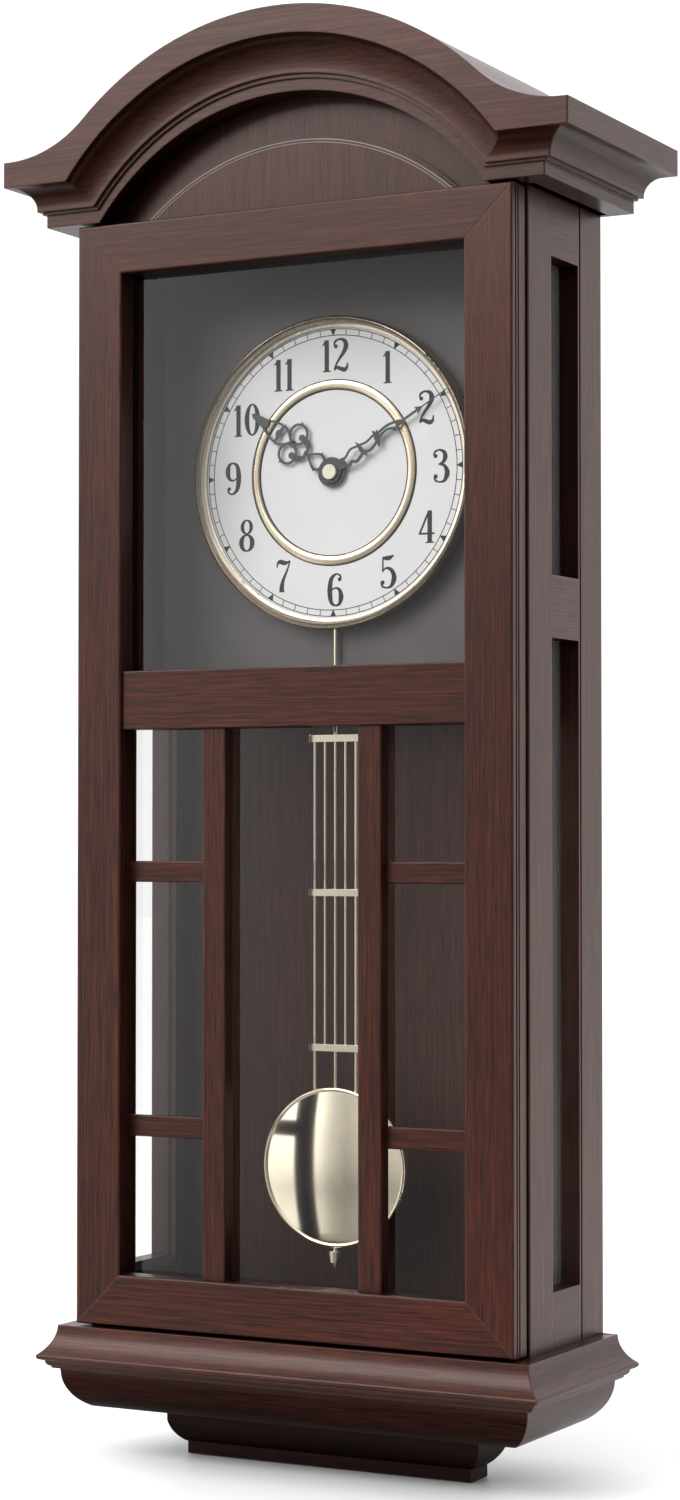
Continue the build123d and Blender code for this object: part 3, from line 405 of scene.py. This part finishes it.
# Colours of the painted highlight and painted shadow lines on the half-round panel.
PAINTED_HIGHLIGHT = coated("painted_highlight_line", (0.30, 0.21, 0.185), (0.21, 0.145, 0.125), 0.3)
PAINTED_SHADOW = coated("painted_shadow_line", (0.012, 0.006, 0.005), (0.008, 0.004, 0.003), 0.5)
HAND_GREY = coated("hand_grey", (0.060, 0.062, 0.068), (0.035, 0.036, 0.040), 0.38, metallic=0.4)
IVORY = coated("ivory", (0.86, 0.85, 0.68), (0.80, 0.78, 0.60), 0.35)
BLACK_PLASTIC = coated("black_plastic", grey(0.022), grey(0.014), 0.5, 1200.0, 0.08 * MM)
WHITE_PLASTIC = coated("white_plastic", (0.72, 0.72, 0.68), (0.66, 0.66, 0.62), 0.45)
RUBBER = coated("rubber", grey(0.03), grey(0.018), 0.75, 900.0, 0.1 * MM)
CELL = coated("cell_sleeve", (0.10, 0.11, 0.13), (0.07, 0.075, 0.09), 0.3)

FINISHES = [
    (WOOD_X, "crown_front crown_rear crown_roof"),
    (WOOD_BASE, "base_front"),
    (WOOD_PANEL, "tympanum_panel"),
    (WOOD_SHADE, "base_board pedestal"),
    (WOOD_X, "door_rail_top door_rail_bottom door_mid_rail door_crossbars"),
    (WOOD_Y, "crown_return_left crown_return_right base_return_left base_return_right"),
    (WOOD_Y, "side_rails_top side_rails_mid side_rails_bottom"),
    (WOOD_Z, "door_stile_left door_stile_right door_muntins tympanum"),
    (WOOD_Z, "case_front_post_left case_front_post_right case_rear_post_left case_rear_post_right"),
    (WOOD_INSIDE, "case_top_board case_bottom_board back_panel dial_battens side_glass_beads"),
    (DIAL_BOARD, "dial_board"),
    (DOOR_GLASS, "door_glass"),
    (SIDE_GLASS, "side_glass"),
    (BOB_BRASS, "bob"),
    (BRASS, "lyre rating_nut pendulum_rod bush_nut"),
    (BEZEL_BRASS, "bezel"),
    (RING_BRASS, "dial_ring"),
    (BRASS_AGED, "hinge_case_leaves hinge_door_leaves hinge_pins"),
    (STEEL, "catch_magnet catch_strike hanger_plate hanger_screws"),
    (DIAL_WHITE, "dial_plate"),
    (HAND_GREY, "minute_hand hour_hand"),
    (IVORY, "hand_nut"),
    (BLACK_PLASTIC, "movement_cover movement_shell pendulum_hanger"),
    (WHITE_PLASTIC, "minute_arbor hour_wheel setting_wheel"),
    (RUBBER, "wall_bumpers"),
    (CELL, "battery"),
]
for material, names in FINISHES:
    for node_name in names.split():
        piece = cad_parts[node_name]
        piece.data.materials.clear()
        piece.data.materials.append(material)


# ---------------------------------------------------------------- flat drawn pieces
LAYERS = 7                     # depths that shapes of one piece take in turn


class Flat:
    """Flat shapes in millimetres, x to the right and z up, which become one thin mesh."""

    def __init__(self):
        self.shapes = []

    def add(self, points, faces, loops):
        self.shapes.append((points, faces, loops))

    def polygon(self, points):
        loop = list(range(len(points)))
        self.add(points, [loop], [loop])

    def disc(self, x, z, radius, steps=28):
        angles = [2 * pi * n / steps for n in range(steps)]
        self.polygon([(x + radius * cos(a), z + radius * sin(a)) for a in angles])

    def stroke(self, knots, closed=False, steps=7):
        """A line through (x, z, width) knots, smooth where it bends."""
        path = smooth_path(knots, closed, steps)
        count = len(path)
        left, right = [], []
        for n, (x, z, width) in enumerate(path):
            before = path[(n - 1) % count] if closed or n else path[0]
            after = path[(n + 1) % count] if closed or n < count - 1 else path[-1]
            dx, dz = after[0] - before[0], after[1] - before[1]
            length = hypot(dx, dz) or 1.0
            side = (-dz / length * width / 2, dx / length * width / 2)
            left.append((x + side[0], z + side[1]))
            right.append((x - side[0], z - side[1]))
        links = [(n, (n + 1) % count) for n in range(count if closed else count - 1)]
        faces = [[a, b, count + b, count + a] for a, b in links]
        lefts = list(range(count))
        rights = list(range(2 * count - 1, count - 1, -1))
        self.add(left + right, faces, [lefts, rights] if closed else [lefts + rights])

    def oval(self, x, z, half_width, half_height, side, top):
        """A ring whose line is `side` wide at its sides and `top` wide at its top and bottom."""
        knots = []
        for n in range(24):
            angle = 2 * pi * n / 24
            share = abs(cos(angle)) ** 1.6
            width = top + (side - top) * share
            knots.append((x + half_width * cos(angle), z + half_height * sin(angle), width))
        self.stroke(knots, closed=True, steps=4)

    def build(self, name, front, back, material, body, turn=0.0, lift=0.0, centre=None):
        """The mesh, between two depths in metres, turned clockwise about the dial's or another centre."""
        centre_x, centre_z = centre or (DIAL_X, DIAL_Z)
        vertices, faces = [], []
        c, s = cos(radians(turn)), sin(radians(turn))
        for number, (points, flats, loops) in enumerate(self.shapes):
            start, size = len(vertices), len(points)
            y = front - number % LAYERS * lift
            for depth in (y, back):
                for x, z in points:
                    vertices.append((
                        centre_x + (x * c + z * s) * MM, depth, centre_z + (z * c - x * s) * MM,
                    ))
            for flat in flats:
                faces.append([start + i for i in flat])
                faces.append([start + size + i for i in reversed(flat)])
            for loop in loops:
                for a, b in zip(loop, loop[1:] + loop[:1]):
                    faces.append([start + a, start + size + a, start + size + b, start + b])
        mesh = bpy.data.meshes.new(name)
        mesh.from_pydata(vertices, [], faces)
        mesh.validate()
        mesh.materials.append(material)
        piece = bpy.data.objects.new(name, mesh)
        scene.collection.objects.link(piece)
        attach(piece, body)
        return piece


def smooth_path(knots, closed, steps):
    """Points on a Catmull-Rom curve through the knots."""
    if len(knots) == 2:
        return list(knots)
    count = len(knots)
    path = []
    for n in range(count if closed else count - 1):
        if closed:
            four = [knots[(n + k) % count] for k in (-1, 0, 1, 2)]
        else:
            four = [knots[min(max(n + k, 0), count - 1)] for k in (-1, 0, 1, 2)]
        for step in range(steps):
            t = step / steps
            path.append(tuple(
                0.5 * (2 * b + (c - a) * t + (2 * a - 5 * b + 4 * c - d) * t * t
                       + (3 * b - a - 3 * c + d) * t ** 3)
                for a, b, c, d in zip(*four)
            ))
    if not closed:
        path.append(tuple(knots[-1]))
    return path


# Numerals of a condensed Clarendon kind, on a unit height: strokes, balls and foot serifs.
SIX = {
    "strokes": [
        [(.45, .82, .03), (.43, .92, .045), (.29, .98, .045), (.13, .85, .10), (.075, .60, .13),
         (.075, .35, .13), (.13, .11, .09), (.27, .02, .04)],
        [(.27, .02, .04), (.40, .08, .08), (.455, .28, .13), (.41, .48, .09), (.28, .56, .045),
         (.14, .50, .035), (.09, .40, .03)],
    ],
    "balls": [(.405, .815, .06)],
}
DIGITS = {
    "1": {
        "strokes": [[(.155, .0, .12), (.155, .97, .12)], [(.0, .815, .02), (.07, .86, .05), (.14, .95, .08)]],
        "feet": [(.02, .29)],
    },
    "2": {
        "strokes": [
            [(.03, .78, .03), (.06, .91, .06), (.21, .975, .05), (.38, .92, .10), (.43, .76, .13),
             (.35, .57, .10), (.19, .36, .06), (.07, .16, .045), (.03, .05, .04)],
            [(.03, .05, .05), (.13, .12, .08), (.26, .07, .10), (.38, .04, .11), (.46, .10, .07),
             (.49, .25, .025)],
        ],
        "balls": [(.085, .765, .062)],
    },
    "3": {
        "strokes": [
            [(.02, .81, .03), (.06, .92, .05), (.20, .98, .045), (.36, .91, .09), (.40, .77, .12),
             (.34, .62, .08), (.20, .555, .035)],
            [(.18, .555, .035), (.36, .51, .07), (.455, .36, .12), (.455, .22, .13), (.37, .06, .08),
             (.22, .02, .04), (.08, .07, .05), (.03, .18, .03)],
        ],
        "balls": [(.08, .80, .062), (.085, .19, .066)],
    },
    "4": {
        "strokes": [
            [(.36, .0, .12), (.36, .97, .12)], [(.33, .95, .05), (.03, .30, .05)],
            [(.0, .285, .045), (.52, .285, .045)],
        ],
        "feet": [(.22, .50)],
    },
    "5": {
        "strokes": [
            [(.09, .94, .03), (.19, .91, .10), (.31, .92, .11), (.41, .96, .06), (.46, 1.0, .02)],
            [(.10, .94, .04), (.09, .50, .04)],
            [(.09, .52, .03), (.20, .61, .05), (.36, .57, .09), (.46, .41, .12), (.46, .24, .13),
             (.37, .07, .08), (.22, .02, .04), (.08, .07, .05), (.03, .17, .03)],
        ],
        "balls": [(.085, .18, .066)],
    },
    "6": SIX,
    "7": {
        "strokes": [
            [(.02, .77, .025), (.05, .91, .06), (.14, .95, .11), (.28, .91, .11), (.40, .93, .06),
             (.48, .98, .03)],
            [(.47, .96, .035), (.38, .70, .05), (.25, .42, .08), (.19, .20, .12), (.19, .02, .14)],
        ],
    },
    "8": {"ovals": [(.26, .765, .155, .205, .10, .04), (.26, .275, .19, .245, .13, .04)]},
    "9": {
        "strokes": [[(.52 - x, 1.0 - z, w) for x, z, w in stroke] for stroke in SIX["strokes"]],
        "balls": [(.52 - x, 1.0 - z, r) for x, z, r in SIX["balls"]],
    },
    "0": {"ovals": [(.26, .5, .19, .47, .13, .04)]},
}
NARROW, WIDE = 0.31, 0.52      # advance of the 1, and of the other digits
DIGIT_GAP = 0.075
FOOT_HEIGHT = 0.04
NUMERAL_HEIGHT = 16.0
NUMERAL_WEIGHT = 1.25          # how much heavier the strokes are than drawn
NUMERAL_RADIUS = 57.0
NUMERAL_SHIFT = 1.2            # brings the drawn digits onto their hours
TRACK_OUTER = 69.7
TRACK_INNER = 66.7
RING_INNER_LINE = 40.35
RING_OUTER_LINE = 45.1
MINUTE_LINE = 0.36
TRIANGLE_HALF = 1.6
TRIANGLE_DEPTH = 3.4
NUMERALS_PROUD = 0.06 * MM
TRACK_PROUD = 0.05 * MM
PRINT_GAP = 0.01 * MM
INK_LIFT = 0.002 * MM          # keeps shapes that cross from lying in one plane
HAND_GAP = 0.02 * MM
HOUR_POINTS = 305.0            # degrees clockwise from twelve at rest
MINUTE_POINTS = 60.0
PANEL_R = 126.0                # of the half-round panel's edge
# Painted highlight and painted shadow lines along the half-round panel's edge.
HIGHLIGHT_ARCS = ((-2.3, 0.55), (-3.7, 0.4))      # place from the panel's edge, and width
SHADOW_ARCS = ((-1.6, 0.6), (-3.05, 0.6))
ARC_FOOT = 1.0                # the painted lines stop this far above the panel's foot
ARC_PROUD = 0.12 * MM
ARC_SUNK = 0.3 * MM


def draw_digit(flat, digit, x0, z0, size):
    """One digit, from its lower left corner."""
    glyph = DIGITS[digit]
    for stroke in glyph.get("strokes", []):
        flat.stroke([(x0 + x * size, z0 + z * size, w * size * NUMERAL_WEIGHT) for x, z, w in stroke])
    for x, z, radius in glyph.get("balls", []):
        flat.disc(x0 + x * size, z0 + z * size, radius * size)
    for left, right in glyph.get("feet", []):
        x_left, x_right = x0 + left * size, x0 + right * size
        z_top = z0 + FOOT_HEIGHT * size
        flat.polygon([(x_left, z0), (x_right, z0), (x_right, z_top), (x_left, z_top)])
    for x, z, half_width, half_height, side, top in glyph.get("ovals", []):
        flat.oval(
            x0 + x * size, z0 + z * size, half_width * size, half_height * size,
            side * size * NUMERAL_WEIGHT, top * size * NUMERAL_WEIGHT,
        )


def numerals():
    """The hours, upright and centred on their places round the dial."""
    flat = Flat()
    for hour in range(1, 13):
        angle = radians(30 * hour)
        text = str(hour)
        advances = [NARROW if digit == "1" else WIDE for digit in text]
        width = (sum(advances) + DIGIT_GAP * (len(text) - 1)) * NUMERAL_HEIGHT
        x = NUMERAL_RADIUS * sin(angle) - width / 2 + NUMERAL_SHIFT
        z = NUMERAL_RADIUS * cos(angle) - NUMERAL_HEIGHT / 2
        for digit, advance in zip(text, advances):
            draw_digit(flat, digit, x, z, NUMERAL_HEIGHT)
            x += (advance + DIGIT_GAP) * NUMERAL_HEIGHT
    flat.build("dial_numerals", DIAL_FACE - NUMERALS_PROUD, DIAL_FACE - PRINT_GAP, INK, "case", lift=INK_LIFT)


def minute_track():
    """The track with a triangle at every hour, and the fine lines beside the brass ring."""
    track = Flat()
    circles = ((TRACK_OUTER, 0.4), (TRACK_INNER, 0.4), (RING_INNER_LINE, 0.6), (RING_OUTER_LINE, 0.5))
    for radius, line in circles:
        ring = [(radius * sin(radians(5 * n)), radius * cos(radians(5 * n)), line) for n in range(72)]
        track.stroke(ring, closed=True, steps=3)
    for minute in range(60):
        angle = radians(6 * minute)
        track.stroke([(r * sin(angle), r * cos(angle), MINUTE_LINE) for r in (TRACK_INNER, TRACK_OUTER)])
    for hour in range(12):
        c, s = cos(radians(30 * hour)), sin(radians(30 * hour))
        corners = (
            (-TRIANGLE_HALF, TRACK_OUTER), (TRIANGLE_HALF, TRACK_OUTER), (0.0, TRACK_OUTER - TRIANGLE_DEPTH),
        )
        track.polygon([(c * u + s * r, c * r - s * u) for u, r in corners])
    track.build("dial_track", DIAL_FACE - TRACK_PROUD, DIAL_FACE - PRINT_GAP, INK, "case", lift=INK_LIFT)


def hour_hand():
    """A pierced hour hand, drawn pointing up: teardrop, two loops and a spade blade."""
    flat = Flat()
    flat.disc(0, 0, 7.3, 48)
    flat.stroke([(0, 14.6, 1.5), (0, 18.4, 1.6)])
    for side in (-1, 1):
        flat.stroke([(side * x, z, w) for x, z, w in (
            (2.5, 6.4, 1.3), (4.0, 9.3, 1.3), (2.6, 12.5, 1.0), (0.5, 15.4, 0.9))])
        flat.stroke([(side * 3.6, 9.2, 1.5), (side * 5.1, 9.5, 0.4)])
        flat.stroke([(side * x, z, w) for x, z, w in ((0, 17.4, 1.6), (2.2, 17.5, 1.6), (4.3, 19.2, 2.2))])
        flat.disc(side * 4.4, 19.6, 1.5)
        flat.disc(side * 5.0, 23.4, 1.7)
        flat.oval(side * 5.5, 26.0, 4.8, 4.8, 1.2, 1.2)
        flat.stroke([(side * 9.9, 26.6, 1.6), (side * 11.6, 27.8, 0.3)])
        flat.stroke([(side * x, z, w) for x, z, w in (
            (-1.6, 25.4, 0.8), (0, 27.4, 1.1), (3.2, 31.0, 1.1), (5.2, 35.2, 1.1))])
        flat.stroke([(side * x, z, w) for x, z, w in ((4.7, 36.2, 1.1), (3.9, 40.0, 1.0), (2.3, 44.4, 1.1))])
    flat.stroke([(-4.9, 35.6, 1.3), (-2.2, 35.3, 1.7), (0, 36.0, 2.8), (2.2, 35.3, 1.7), (4.9, 35.6, 1.3)])
    flat.polygon([
        (-2.7, 44.0), (0, 43.0), (2.7, 44.0), (1.9, 49.0), (1.3, 52.6), (0, 54.0), (-1.3, 52.6), (-1.9, 49.0),
    ])
    return flat


def minute_hand():
    """A pierced minute hand, drawn pointing up: two open leaves, an arrowhead and a needle."""
    flat = Flat()
    flat.disc(0, 0, 5.6, 40)
    flat.polygon([(-2.2, 4.0), (2.2, 4.0), (2.8, 7.5), (2.6, 9.4), (-2.3, 9.4), (-2.5, 7.5)])
    lines = (
        ((-1.6, 9.0, 1.0), (-1.6, 10.4, 1.0), (-3.4, 14.3, 1.0), (-2.8, 18.0, 1.0), (-1.6, 19.6, 1.0)),
        ((2.0, 9.0, 1.6), (3.0, 10.4, 1.6), (2.1, 12.4, 1.5),
         (3.4, 14.6, 1.6), (2.4, 18.0, 1.5), (1.4, 20.0, 1.4)),
        ((-4.8, 18.6, 0.4), (-2.2, 19.3, 1.6), (0, 19.4, 2.1), (2.2, 20.0, 1.6), (4.0, 20.9, 0.4)),
        ((-2.6, 19.6, 1.0), (-1.8, 23.6, 1.0), (-2.6, 28.4, 1.0)),
        ((1.9, 20.4, 1.2), (2.7, 23.6, 1.2), (2.3, 25.6, 1.2), (1.2, 28.4, 1.1)),
        ((-4.8, 28.9, 0.3), (-2.6, 29.4, 1.8), (0, 29.2, 2.6), (2.0, 29.0, 1.6), (4.0, 28.4, 0.3)),
        ((-3.8, 31.3, 0.3), (-2.0, 30.2, 1.4), (0, 30.3, 1.8)),
        ((-1.9, 30.4, 1.2), (-2.5, 36.7, 1.2), (-1.3, 42.4, 1.1), (0, 45.0, 1.1)),
        ((-0.2, 30.6, 1.2), (-0.9, 36.0, 1.0), (0.6, 39.2, 1.4), (1.0, 41.0, 1.1), (0, 45.0, 1.1)),
        ((0.5, 39.0, 1.3), (1.6, 39.6, 1.3), (3.0, 41.2, 0.3)),
        ((0, 44.0, 1.1), (0, 54.0, 1.1)),
        ((0, 56.5, 0.55), (0, 72.3, 0.4)),
    )
    for line in lines:
        flat.stroke(line)
    flat.polygon([(-2.0, 53.4), (0, 54.2), (2.0, 53.4), (0, 57.6)])
    return flat


def panel_beads():
    """Painted highlight and painted shadow lines that follow the raised half-round panel's edge."""
    panel_low, panel_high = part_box("tympanum_panel")
    centre = (DIAL_X, panel_high[2] - PANEL_R * MM)
    lowest = (panel_low[2] - centre[1]) / MM + ARC_FOOT
    front, back = panel_low[1] - ARC_PROUD, panel_low[1] + ARC_SUNK
    for name, material, lines in (
        ("panel_bead_light", PAINTED_HIGHLIGHT, HIGHLIGHT_ARCS), ("panel_bead_dark", PAINTED_SHADOW, SHADOW_ARCS),
    ):
        flat = Flat()
        for place, line in lines:
            radius = PANEL_R + place
            reach = acos(lowest / radius)
            turns = [reach * (n / 24 - 1) for n in range(49)]
            flat.stroke([(radius * sin(a), radius * cos(a), line) for a in turns], steps=2)
        flat.build(name, front, back, material, "case", centre=centre)


def pierced_hand(flat, node_name, body, points):
    """A drawn hand in the place of a plain one."""
    hand_low, hand_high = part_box(node_name)
    piece = flat.build(
        "pierced_" + node_name, hand_low[1] + HAND_GAP, hand_high[1], HAND_GREY, body, points, INK_LIFT,
    )
    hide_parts(node_name)


panel_beads()
numerals()
minute_track()
pierced_hand(hour_hand(), "hour_hand", "hour", HOUR_POINTS)
pierced_hand(minute_hand(), "minute_hand", "minute", MINUTE_POINTS)


# ---------------------------------------------------------------- camera, floor and light
CAMERA_PLACE = (0.7193, -1.4081, -0.3408)
CAMERA_TILT = 91.6353          # degrees from straight down
CAMERA_TURN = 28.1308
CAMERA_LENS = 75.53
CAMERA_SENSOR = 36.0
FLOOR_FRONT = -0.26
FLOOR_REACH = 9.0
FLOOR_GAP = 0.5 * MM           # the clock hangs just above the floor
FLOOR_WHITE = (0.95, 0.95, 0.95, 1.0)
KEY_PLACE = (-1.2, -2.0, 1.3)
KEY_TARGET = (0.0, -0.1, -0.3)
KEY_SIZE = 1.7
KEY_POWER = 53.0
WORLD_STRENGTH = 2.0


def set_camera():
    """From below the dial, to the right of the clock, looking a little upwards."""
    data = bpy.data.cameras.new("camera")
    data.lens = CAMERA_LENS
    data.sensor_width = CAMERA_SENSOR
    data.clip_start = 0.05
    camera = bpy.data.objects.new("camera", data)
    camera.location = CAMERA_PLACE
    camera.rotation_euler = (radians(CAMERA_TILT), 0.0, radians(CAMERA_TURN))
    scene.collection.objects.link(camera)
    scene.camera = camera


def lay_floor():
    """A white floor under the clock and behind it, past the lower edge of the picture in front."""
    z = cad_box[0][2] - FLOOR_GAP
    corners = [
        (-FLOOR_REACH, FLOOR_FRONT, z), (FLOOR_REACH, FLOOR_FRONT, z),
        (FLOOR_REACH, FLOOR_REACH, z), (-FLOOR_REACH, FLOOR_REACH, z),
    ]
    mesh = bpy.data.meshes.new("floor")
    mesh.from_pydata(corners, [], [(0, 1, 2, 3)])
    material, tree, output = new_material("floor_white")
    principled(tree, output, {}, Base_Color=FLOOR_WHITE, Roughness=0.45)
    mesh.materials.append(material)
    floor = bpy.data.objects.new("floor", mesh)
    scene.collection.objects.link(floor)


def key_light():
    """A large soft light high on the left in front."""
    data = bpy.data.lights.new("key", "AREA")
    data.shape = "RECTANGLE"
    data.size = data.size_y = KEY_SIZE
    data.energy = KEY_POWER
    light = bpy.data.objects.new("key", data)
    light.location = KEY_PLACE
    direction = Vector(KEY_TARGET) - Vector(KEY_PLACE)
    light.rotation_euler = direction.to_track_quat("-Z", "Y").to_euler()
    scene.collection.objects.link(light)


def studio_world():
    """Grey walls behind, a pale ceiling, and in front a bright wall on the left that fades to the right."""
    world = bpy.data.worlds.new("studio")
    scene.world = world
    world.use_nodes = True
    tree = world.node_tree
    direction = add(tree, "ShaderNodeTexCoord").outputs["Generated"]
    # Each component of the direction, from 0 at its lowest to 1 at its highest.
    rightward, backward, upward = [
        maths(tree, "MULTIPLY", maths(tree, "ADD", component(tree, direction, axis), 1.0), 0.5)
        for axis in "XYZ"
    ]
    by_height = ramp(tree, upward, [
        (0.12, grey(0.05)), (0.27, grey(0.58)), (0.36, grey(0.60)), (0.41, grey(0.44)), (0.45, grey(0.68)),
        (0.50, grey(0.84)), (0.55, grey(0.98)), (0.62, grey(1.0)),
    ])
    by_side = ramp(tree, rightward, [
        (0.20, grey(1.0)), (0.232, grey(0.98)), (0.245, grey(0.68)), (0.262, grey(0.38)), (0.295, grey(0.24)),
        (0.34, grey(0.42)), (0.44, grey(0.42)), (0.5, grey(0.20)),
    ])
    front = multiply(tree, by_height, by_side)
    behind = ramp(tree, backward, [(0.44, grey(0.0)), (0.49, grey(1.0))])
    walls = mix_colour(tree, behind, front, grey(0.58))
    overhead = ramp(tree, upward, [(0.72, grey(0.0)), (0.82, grey(1.0))])
    background = tree.nodes["Background"]
    tree.links.new(mix_colour(tree, overhead, walls, grey(0.72)), background.inputs["Color"])
    background.inputs["Strength"].default_value = WORLD_STRENGTH


set_camera()
lay_floor()
studio_world()
key_light()
scene.view_settings.view_transform = "Standard"
